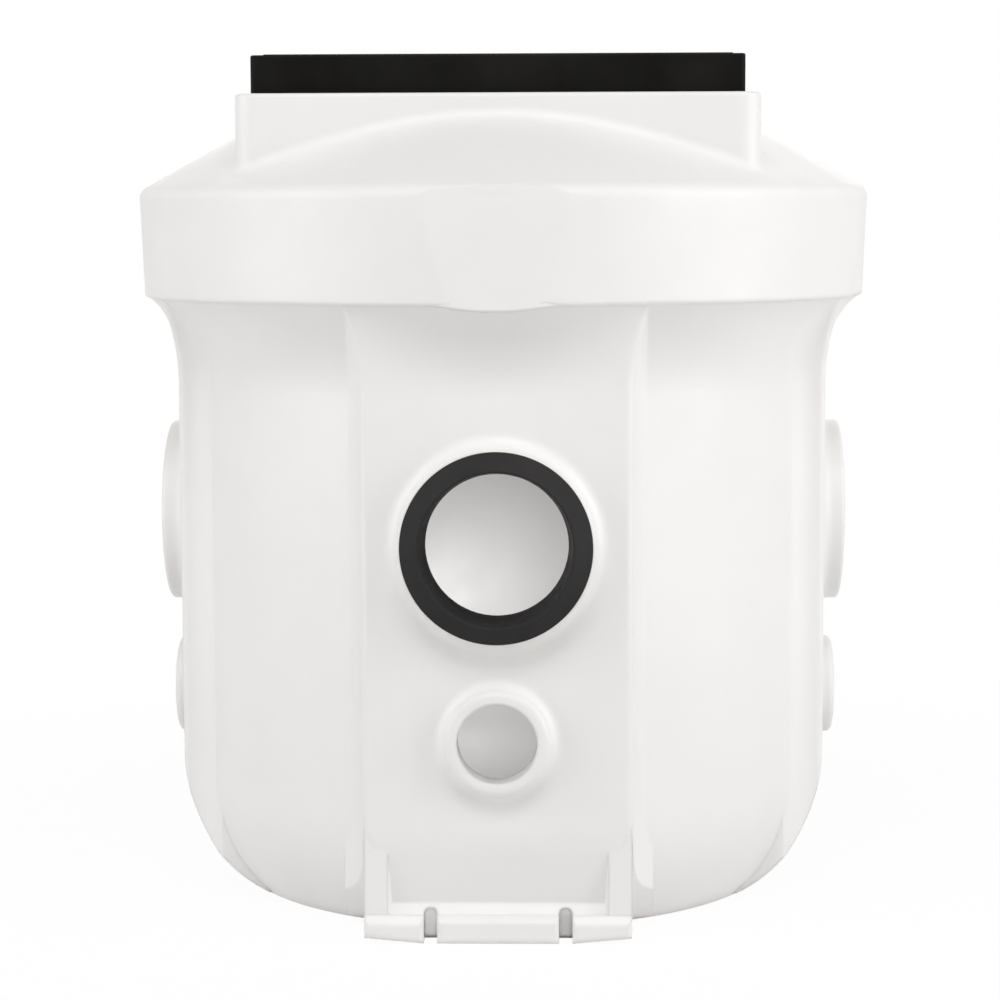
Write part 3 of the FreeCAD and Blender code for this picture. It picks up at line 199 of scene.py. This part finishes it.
def add_node(tree, kind, inputs=None, **settings):
    """A new node with its settings, its constants set on its sockets and its links made."""
    made = tree.nodes.new(kind)
    for name, value in settings.items():
        setattr(made, name, value)
    for name, value in (inputs or {}).items():
        if isinstance(value, bpy.types.NodeSocket):
            tree.links.new(value, made.inputs[name])
        else:
            made.inputs[name].default_value = value
    return made


def start_material(name):
    material = bpy.data.materials.new(name)
    material.use_nodes = True
    return material, material.node_tree, material.node_tree.nodes["Principled BSDF"]


def speckle(tree, size, detail=2.0, stretch=(1.0, 1.0, 1.0)):
    """Noise with features of the given size, on the piece's own coordinates."""
    place = add_node(tree, "ShaderNodeTexCoord")
    mapping = add_node(tree, "ShaderNodeMapping", {"Vector": place.outputs["Object"], "Scale": stretch})
    noise = add_node(tree, "ShaderNodeTexNoise", {
        "Vector": mapping.outputs["Vector"], "Scale": 1.0 / size, "Detail": detail})
    return noise.outputs["Fac"]


def spread(tree, value, low, high, start=0.3, end=0.7):
    """Value from start to end stretched to low to high."""
    ranged = add_node(tree, "ShaderNodeMapRange", {
        "Value": value, "From Min": start, "From Max": end, "To Min": low, "To Max": high})
    return ranged.outputs["Result"]


def mix_colours(tree, factor, first, second):
    mixed = add_node(tree, "ShaderNodeMix", {"Factor": factor}, data_type="RGBA")
    for index, value in ((MIX_FIRST, first), (MIX_SECOND, second)):
        if isinstance(value, bpy.types.NodeSocket):
            tree.links.new(value, mixed.inputs[index])
        else:
            mixed.inputs[index].default_value = (*value, 1.0)
    return mixed.outputs[MIX_RESULT]


def soft_edges(tree, radius):
    """Normal with rounded edges, and a mask that is 1 on edges and 0 on faces."""
    rounded = add_node(tree, "ShaderNodeBevel", {"Radius": radius}, samples=6)
    plain = add_node(tree, "ShaderNodeNewGeometry")
    same = add_node(tree, "ShaderNodeVectorMath", operation="DOT_PRODUCT")
    tree.links.new(rounded.outputs["Normal"], same.inputs[0])
    tree.links.new(plain.outputs["Normal"], same.inputs[1])
    return rounded.outputs["Normal"], spread(tree, same.outputs["Value"], 1.0, 0.0, start=0.9, end=0.995)


def raise_grain(tree, height, depth, normal):
    bump = add_node(tree, "ShaderNodeBump", {"Height": height, "Distance": depth, "Normal": normal})
    return bump.outputs["Normal"]


def multiply(tree, value, factor):
    product = add_node(tree, "ShaderNodeMath", operation="MULTIPLY")
    tree.links.new(value, product.inputs[0])
    if isinstance(factor, bpy.types.NodeSocket):
        tree.links.new(factor, product.inputs[1])
    else:
        product.inputs[1].default_value = factor
    return product.outputs["Value"]


# Finishes

def moulded_skin(name, colour, patch, edge_wear_and_highlight, roughness, gloss, grain, softness, patch_size, edge_wear_and_highlight_share):
    """Moulded plastic: cloudy patches, fine grain, a slow waviness, and an edge colour that is rubbed wear,
    used on the black skins as a painted edge highlight.
    """
    material, tree, shader = start_material(name)
    shader.inputs["Specular IOR Level"].default_value = gloss
    normal, edges = soft_edges(tree, softness)
    cloudy = mix_colours(tree, spread(tree, speckle(tree, patch_size, 3.0), 0.0, CLOUD_SHARE), colour, patch)
    # Edge colour mixed in on edges: rubbed wear, and on the black skins a painted edge highlight
    edge_wear_and_highlight_mask = multiply(tree, edges, spread(tree, speckle(tree, patch_size / 9, 4.0), 0.0, edge_wear_and_highlight_share))
    tree.links.new(mix_colours(tree, edge_wear_and_highlight_mask, cloudy, edge_wear_and_highlight), shader.inputs["Base Color"])
    shine = spread(
        tree, speckle(tree, patch_size / 4, 4.0), roughness - ROUGHNESS_SWING, roughness + ROUGHNESS_SWING)
    tree.links.new(shine, shader.inputs["Roughness"])
    waves = raise_grain(tree, speckle(tree, patch_size / 2), grain * 0.5, normal)
    tree.links.new(raise_grain(tree, speckle(tree, grain, 2.0), grain * 0.05, waves), shader.inputs["Normal"])
    return material


def brushed_metal(name, colour, roughness, stretch):
    """Bare metal with fine brush lines."""
    material, tree, shader = start_material(name)
    normal = soft_edges(tree, METAL_EDGE)[0]
    lines = speckle(tree, BRUSH_WIDTH, 3.0, stretch)
    darker = tuple(BRUSH_DARK * channel for channel in colour)
    tree.links.new(mix_colours(tree, lines, darker, colour), shader.inputs["Base Color"])
    shader.inputs["Metallic"].default_value = 1.0
    shine = spread(tree, lines, roughness - BRUSH_SWING, roughness + BRUSH_SWING)
    tree.links.new(shine, shader.inputs["Roughness"])
    tree.links.new(raise_grain(tree, lines, BRUSH_DEPTH, normal), shader.inputs["Normal"])
    return material


def dress(nodes, material):
    """Give CAD nodes a material."""
    for name in nodes:
        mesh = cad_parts[name].data
        mesh.materials.clear()
        mesh.materials.append(material)


# Modelling helpers

def select_none():
    """Leave edit mode with nothing selected."""
    if bpy.context.mode != "OBJECT":
        bpy.ops.object.mode_set(mode="OBJECT")
    bpy.ops.object.select_all(action="DESELECT")


def move_point(piece, index, place):
    """Move one point of the piece in edit mode."""
    bpy.ops.object.mode_set(mode="EDIT")
    bpy.ops.mesh.select_mode(type="VERT")
    bpy.ops.mesh.select_all(action="DESELECT")
    bpy.ops.object.mode_set(mode="OBJECT")
    point = piece.data.vertices[index]
    point.select = True
    step = Vector(place) - point.co
    bpy.ops.object.mode_set(mode="EDIT")
    bpy.ops.transform.translate(value=step)
    bpy.ops.object.mode_set(mode="OBJECT")


def draw_out(step):
    """Extrude the active sheet into a closed solid."""
    bpy.ops.object.mode_set(mode="EDIT")
    bpy.ops.mesh.select_all(action="SELECT")
    bpy.ops.mesh.extrude_region_move(TRANSFORM_OT_translate={"value": step})
    bpy.ops.mesh.select_all(action="SELECT")
    bpy.ops.mesh.normals_make_consistent(inside=False)
    bpy.ops.object.mode_set(mode="OBJECT")


def prism(name, corners, step):
    """A solid with one face through the corners, drawn out by the step."""
    select_none()
    bpy.ops.mesh.primitive_circle_add(vertices=len(corners), radius=0.01, fill_type="NGON")
    solid = bpy.context.object
    solid.name = name
    for index, place in enumerate(corners):
        move_point(solid, index, place)
    draw_out(step)
    return solid


def round_top_edges(piece, radius):
    """Round the edges at the piece's top that run along Y."""
    bpy.ops.object.mode_set(mode="EDIT")
    bpy.ops.mesh.select_mode(type="EDGE")
    bpy.ops.mesh.select_all(action="DESELECT")
    bpy.ops.object.mode_set(mode="OBJECT")
    points = piece.data.vertices
    top = max(point.co.z for point in points)
    for edge in piece.data.edges:
        first, second = (points[index].co for index in edge.vertices)
        level = min(first.z, second.z) > top - SAME_PLACE
        edge.select = level and abs(first.x - second.x) < SAME_PLACE
    bpy.ops.object.mode_set(mode="EDIT")
    bpy.ops.mesh.bevel(offset=radius, segments=6, affect="EDGES")
    bpy.ops.object.mode_set(mode="OBJECT")


def cut_away(piece, cutter):
    """Cut a piece with a cutter, which is then removed."""
    select_none()
    cut = piece.modifiers.new("cut", "BOOLEAN")
    cut.operation = "DIFFERENCE"
    cut.object = cutter
    bpy.context.view_layer.objects.active = piece
    piece.select_set(True)
    bpy.ops.object.modifier_apply(modifier=cut.name)
    bpy.data.objects.remove(cutter)


def join_to_tank(piece):
    """Give a finished piece the tank's skin and let it ride on the tank."""
    select_none()
    bpy.context.view_layer.objects.active = piece
    piece.select_set(True)
    bpy.ops.object.shade_smooth_by_angle(angle=SMOOTH_ANGLE)
    piece.data.materials.append(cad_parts["tank"].data.materials[0])
    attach(piece, "tank_body")


# Pieces

class STATION_OT_tank(bpy.types.Operator):
    """Give the tank its white moulded skin"""

    bl_idname = "station.tank"
    bl_label = "Tank"

    def execute(self, context):
        looks = context.scene.station_finishes
        dress(["tank"], moulded_skin(
            "moulded_white", looks.tank_white, looks.tank_shade, looks.tank_shade, roughness=0.42, gloss=0.5,
            grain=looks.grain, softness=looks.edge_softness, patch_size=0.16, edge_wear_and_highlight_share=0.4))
        return {"FINISHED"}


def skirt_side_view(feet):
    """Points (out, z) of a skirt: toe, ledge, touch on the bottom curve, back down inside the wall, heel."""
    centre = Vector((PANEL_OUT - BOTTOM_CURVE_R, BOTTOM_CURVE_Z))
    ledge = Vector((PANEL_OUT - feet.ledge_setback, feet.ledge_height))
    foot_top = Vector((ledge.x + feet.ledge_reach, FOOT_H))
    toe = foot_top + (foot_top - ledge).normalized() * SKIRT_SINK
    way = ledge - centre
    touch = math.atan2(way.y, way.x) + math.acos(BOTTOM_CURVE_R / way.length)
    top = touch + SKIRT_LAP
    low = -math.asin((BOTTOM_CURVE_Z - HEEL_Z) / (BOTTOM_CURVE_R - SKIRT_T))
    places = [toe, ledge]
    for radius, turn in (
            (BOTTOM_CURVE_R, touch),
            (BOTTOM_CURVE_R - SKIRT_T / 8, top),
            (BOTTOM_CURVE_R - SKIRT_T, top),
            (BOTTOM_CURVE_R - SKIRT_T, top + (low - top) / 3),
            (BOTTOM_CURVE_R - SKIRT_T, low + (top - low) / 3),
            (BOTTOM_CURVE_R - SKIRT_T, low)):
        places.append(centre + radius * Vector((math.cos(turn), math.sin(turn))))
    return places + [Vector((HEEL_OUT, HEEL_Z))]


def notch_side_view(feet):
    """Points (out, z) of an anchor slot with a leaning end."""
    mouth = FOOT_OUT + SKIRT_SINK
    end = FOOT_OUT - feet.notch_depth
    return [(mouth, 0.0), (end, 0.0), (end + feet.notch_lean, feet.notch_height), (mouth, feet.notch_height)]


class STATION_OT_foot_skirts(bpy.types.Operator):
    """Close the front and back panel down to their feet with a sloped ledge between the ribs"""

    bl_idname = "station.foot_skirts"
    bl_label = "Foot skirts"

    def execute(self, context):
        feet = context.scene.station_feet
        half = feet.skirt_half
        width = feet.notch_width
        for name, hand in (("front_foot_skirt", -1.0), ("back_foot_skirt", 1.0)):
            corners = [(-half, hand * out, z) for out, z in skirt_side_view(feet)]
            skirt = prism(name, corners, (2.0 * half, 0.0, 0.0))
            for x in (-feet.notch_place, feet.notch_place):
                corners = [(x - width / 2, hand * out, z) for out, z in notch_side_view(feet)]
                cutter = prism("notch", corners, (width, 0.0, 0.0))
                round_top_edges(cutter, width * NOTCH_ROUNDING)
                cut_away(skirt, cutter)
            join_to_tank(skirt)
        return {"FINISHED"}


def band_out(x, rise):
    """Distance from the tank's middle plane to the band's face, at a height above the band's lower edge."""
    return min(BAND_FLAT_OUT, math.sqrt((BAND_LOW_R + BAND_TAPER * rise) ** 2 - x ** 2))


def lip_edges(shape, x):
    """Points on the lower and the upper edge of the lip's face."""
    share = min(1.0, (shape.half - abs(x)) / (shape.half - shape.flat_half))
    drop = shape.drop * share * share * (3.0 - 2.0 * share)
    tuck = shape.tuck * max(0.0, abs(x) - BAND_FLAT_HALF)
    low_out = band_out(x, 0.0) + shape.stand - tuck
    high_out = band_out(x, shape.rise) - shape.sink - tuck
    return (x, -low_out, BAND_LOW_Z - drop), (x, -high_out, BAND_LOW_Z + shape.rise)


class STATION_OT_band_lip(bpy.types.Operator):
    """Hang a shallow lip under the flat front of the tank's band"""

    bl_idname = "station.band_lip"
    bl_label = "Band lip"

    def execute(self, context):
        shape = context.scene.station_lip
        select_none()
        bpy.ops.mesh.primitive_grid_add(x_subdivisions=LIP_STEPS, y_subdivisions=1, size=1.0)
        lip = bpy.context.object
        lip.name = "band_lip"
        for step in range(LIP_STEPS + 1):
            x = shape.half * (2.0 * step / LIP_STEPS - 1.0)
            low, high = lip_edges(shape, x)
            move_point(lip, step, low)
            move_point(lip, step + LIP_STEPS + 1, high)
        draw_out((0.0, shape.depth, 0.0))
        join_to_tank(lip)
        return {"FINISHED"}


class STATION_OT_frame_and_lid(bpy.types.Operator):
    """Give frame and lid their black moulded skin, and their screws bare metal"""

    bl_idname = "station.frame_and_lid"
    bl_label = "Frame and lid"

    def execute(self, context):
        looks = context.scene.station_finishes
        # The frame's and lid's edges take the lighter black as a painted edge highlight
        dress(["frame", "lid"], moulded_skin(
            "moulded_black", looks.frame_black, looks.black_patch_and_highlight, looks.black_patch_and_highlight,
            roughness=0.5, gloss=0.055, grain=looks.grain, softness=looks.edge_softness / 4,
            patch_size=0.05, edge_wear_and_highlight_share=0.6))
        dress(["lid_screws"], brushed_metal("screw_steel", looks.steel, 0.3, (1.0, 1.0, 8.0)))
        dress(["lid_inserts"], brushed_metal("insert_brass", looks.brass, 0.32, (1.0, 1.0, 8.0)))
        return {"FINISHED"}


class STATION_OT_seals(bpy.types.Operator):
    """Give seals, strip and gaskets matt rubber"""

    bl_idname = "station.seals"
    bl_label = "Seals"

    def execute(self, context):
        looks = context.scene.station_finishes
        rubber = moulded_skin(
            "black_rubber", looks.rubber_black, looks.rubber_bloom, looks.rubber_bloom,
            roughness=0.55, gloss=0.07, grain=looks.grain / 2, softness=looks.edge_softness / 4,
            patch_size=0.03, edge_wear_and_highlight_share=0.5)
        dress(["inlet_seal", "frame_strip", "lid_gasket", "outlet_grommet", "valve_gasket", "flap"], rubber)
        return {"FINISHED"}


class STATION_OT_pump(bpy.types.Operator):
    """Give the pump its castings, steel and black fittings"""

    bl_idname = "station.pump"
    bl_label = "Pump"

    def execute(self, context):
        looks = context.scene.station_finishes
        dress(["volute", "impeller", "seal_flange"], moulded_skin(
            "coated_casting", looks.casting, looks.casting, looks.casting_worn, roughness=0.5, gloss=0.4,
            grain=looks.grain * 2, softness=looks.edge_softness / 4, patch_size=0.02, edge_wear_and_highlight_share=0.7))
        steel = brushed_metal("pump_steel", looks.steel, 0.32, (1.0, 1.0, 30.0))
        dress(["motor", "shaft", "flange_screws", "cap_screws", "carry_handle"], steel)
        dress(["shaft_seal"], brushed_metal("seal_brass", looks.brass, 0.35, (1.0, 1.0, 8.0)))
        # The black fittings' edges take the lighter black as a painted edge highlight
        dress(["strainer", "motor_cap", "pump_gland"], moulded_skin(
            "pump_black", looks.frame_black, looks.black_patch_and_highlight, looks.black_patch_and_highlight, roughness=0.45, gloss=0.3,
            grain=looks.grain, softness=looks.edge_softness / 4, patch_size=0.03, edge_wear_and_highlight_share=0.6))
        return {"FINISHED"}


class STATION_OT_pipework(bpy.types.Operator):
    """Give pipe and check valve grey plastic, and the cable gland black"""

    bl_idname = "station.pipework"
    bl_label = "Pipework"

    def execute(self, context):
        looks = context.scene.station_finishes
        dress(["union_nut", "elbow", "valve_body", "valve_bonnet", "discharge_pipe"], moulded_skin(
            "pipe_grey", looks.pipe_grey, looks.pipe_scuffed, looks.pipe_scuffed, roughness=0.36, gloss=0.5,
            grain=looks.grain, softness=looks.edge_softness / 4, patch_size=0.04, edge_wear_and_highlight_share=0.5))
        dress(["flap_pin", "valve_screws"], brushed_metal("valve_steel", looks.steel, 0.3, (1.0, 1.0, 8.0)))
        # The gland's edges take the lighter black as a painted edge highlight
        dress(["cable_gland", "gland_nut"], moulded_skin(
            "gland_black", looks.frame_black, looks.black_patch_and_highlight, looks.black_patch_and_highlight, roughness=0.42, gloss=0.3,
            grain=looks.grain / 2, softness=looks.edge_softness / 8, patch_size=0.02, edge_wear_and_highlight_share=0.6))
        return {"FINISHED"}


class STATION_OT_level_switch(bpy.types.Operator):
    """Give the level switch its plastics and steel rod"""

    bl_idname = "station.level_switch"
    bl_label = "Level switch"

    def execute(self, context):
        looks = context.scene.station_finishes
        dress(["float", "float_clamp"], moulded_skin(
            "float_grey", looks.float_grey, looks.pipe_grey, looks.pipe_scuffed, roughness=0.4, gloss=0.4,
            grain=looks.grain, softness=looks.edge_softness / 4, patch_size=0.03, edge_wear_and_highlight_share=0.5))
        # The switch head's edges take the lighter black as a painted edge highlight
        dress(["switch_head"], moulded_skin(
            "switch_black", looks.frame_black, looks.black_patch_and_highlight, looks.black_patch_and_highlight, roughness=0.45, gloss=0.3,
            grain=looks.grain, softness=looks.edge_softness / 4, patch_size=0.03, edge_wear_and_highlight_share=0.6))
        dress(["float_rod"], brushed_metal("rod_steel", looks.steel, 0.25, (30.0, 30.0, 1.0)))
        return {"FINISHED"}


# Stage

def background_rays(tree):
    """1 for rays that see the background: from the camera, in gloss or through clear parts."""
    path = add_node(tree, "ShaderNodeLightPath")
    seen = path.outputs["Is Camera Ray"]
    for name in ("Is Glossy Ray", "Is Transmission Ray"):
        either = add_node(tree, "ShaderNodeMath", operation="MAXIMUM")
        tree.links.new(seen, either.inputs[0])
        tree.links.new(path.outputs[name], either.inputs[1])
        seen = either.outputs["Value"]
    return seen


def floor_material(shadow, reach):
    """Pale floor that looks white in the picture, with a soft shadow that fades to white at its reach."""
    material, tree, shader = start_material("studio_floor")
    shader.inputs["Base Color"].default_value = (0.9, 0.9, 0.9, 1.0)
    shader.inputs["Roughness"].default_value = 0.9
    place = add_node(tree, "ShaderNodeTexCoord")
    away = add_node(tree, "ShaderNodeVectorMath", operation="LENGTH")
    tree.links.new(place.outputs["Object"], away.inputs[0])
    white_share = spread(tree, away.outputs["Value"], 1.0 - shadow, 1.0, start=reach / 4, end=reach)
    white = add_node(tree, "ShaderNodeEmission", {"Color": (1.0, 1.0, 1.0, 1.0), "Strength": 1.0})
    both = add_node(tree, "ShaderNodeMixShader", {"Fac": multiply(tree, background_rays(tree), white_share)})
    tree.links.new(shader.outputs["BSDF"], both.inputs[1])
    tree.links.new(white.outputs["Emission"], both.inputs[2])
    tree.links.new(both.outputs["Shader"], tree.nodes["Material Output"].inputs["Surface"])
    return material


def add_floor(half, shadow, reach):
    select_none()
    bpy.ops.mesh.primitive_plane_add(size=2.0 * half)
    floor = bpy.context.object
    floor.name = "studio_floor"
    floor.data.materials.append(floor_material(shadow, reach))


def add_world(strength):
    world = bpy.data.worlds.new("studio_room")
    world.use_nodes = True
    tree = world.node_tree
    level = spread(tree, background_rays(tree), strength, 1.0, start=0.0, end=1.0)
    back = tree.nodes["Background"]
    back.inputs["Color"].default_value = (1.0, 1.0, 1.0, 1.0)
    tree.links.new(level, back.inputs["Strength"])
    bpy.context.scene.world = world


def add_soft_lamp(name, place, target, width, height, power):
    lamp = bpy.data.lights.new(name, "AREA")
    lamp.shape = "RECTANGLE"
    lamp.size = width
    lamp.size_y = height
    lamp.energy = power
    made = bpy.data.objects.new(name, lamp)
    made.visible_camera = False
    made.matrix_world = Matrix.Translation(place) @ (
        (Vector(target) - Vector(place)).to_track_quat("-Z", "Y").to_matrix().to_4x4())
    bpy.context.scene.collection.objects.link(made)


def add_camera(stage):
    turn = stage.turn
    aim = stage.turn + stage.aim
    level = Vector((math.cos(aim), math.sin(aim), 0.0))
    ahead = Vector((-math.sin(aim), math.cos(aim), 0.0)) * math.cos(stage.tilt)
    ahead.z = -math.sin(stage.tilt)
    upright = level.cross(ahead)
    right = level * math.cos(stage.roll) + upright * math.sin(stage.roll)
    up = upright * math.cos(stage.roll) - level * math.sin(stage.roll)
    place = Vector((math.sin(turn), -math.cos(turn), 0.0)) * stage.camera_distance
    place.z = stage.eye_height
    lens = bpy.data.cameras.new("studio_camera")
    lens.lens = stage.lens
    lens.sensor_width = SENSOR_WIDTH
    camera = bpy.data.objects.new("studio_camera", lens)
    camera.matrix_world = Matrix.Translation(place) @ Matrix((right, up, -ahead)).transposed().to_4x4()
    bpy.context.scene.collection.objects.link(camera)
    bpy.context.scene.camera = camera


class STATION_OT_stage(bpy.types.Operator):
    """Set up the floor, the soft lamps and the camera"""

    bl_idname = "station.stage"
    bl_label = "Studio stage"

    def execute(self, context):
        stage = context.scene.station_stage
        add_floor(stage.floor_half, stage.shadow, stage.shadow_reach)
        add_world(stage.room_light)
        for name, place, target, width, height in LAMPS:
            add_soft_lamp(name + "_lamp", place, target, width, height, getattr(stage, name + "_power"))
        add_camera(stage)
        context.scene.view_settings.view_transform = "Standard"
        return {"FINISHED"}


class STATION_PT_panel(bpy.types.Panel):
    """Sidebar panel with the station's steps, sizes, finishes and stage"""

    bl_idname = "STATION_PT_panel"
    bl_label = "Sewage Pumping Station"
    bl_space_type = "VIEW_3D"
    bl_region_type = "UI"
    bl_category = "Station"

    def draw(self, context):
        for operator in OPERATORS:
            self.layout.operator(operator.bl_idname)
        scene = context.scene
        for group in (scene.station_finishes, scene.station_feet, scene.station_lip, scene.station_stage):
            box = self.layout.box()
            for name in group.__annotations__:
                box.prop(group, name)


OPERATORS = (
    STATION_OT_tank,
    STATION_OT_foot_skirts,
    STATION_OT_band_lip,
    STATION_OT_frame_and_lid,
    STATION_OT_seals,
    STATION_OT_pump,
    STATION_OT_pipework,
    STATION_OT_level_switch,
    STATION_OT_stage,
)
CLASSES = (StationFinishes, StationFeet, StationLip, StationStage) + OPERATORS + (STATION_PT_panel,)


def register():
    for item in CLASSES:
        bpy.utils.register_class(item)
    bpy.types.Scene.station_finishes = bpy.props.PointerProperty(type=StationFinishes)
    bpy.types.Scene.station_feet = bpy.props.PointerProperty(type=StationFeet)
    bpy.types.Scene.station_lip = bpy.props.PointerProperty(type=StationLip)
    bpy.types.Scene.station_stage = bpy.props.PointerProperty(type=StationStage)


def unregister():
    del bpy.types.Scene.station_stage
    del bpy.types.Scene.station_lip
    del bpy.types.Scene.station_feet
    del bpy.types.Scene.station_finishes
    for item in reversed(CLASSES):
        bpy.utils.unregister_class(item)


def main():
    register()
    bpy.ops.station.tank()
    bpy.ops.station.foot_skirts()
    bpy.ops.station.band_lip()
    bpy.ops.station.frame_and_lid()
    bpy.ops.station.seals()
    bpy.ops.station.pump()
    bpy.ops.station.pipework()
    bpy.ops.station.level_switch()
    bpy.ops.station.stage()


if __name__ == "__main__":
    main()
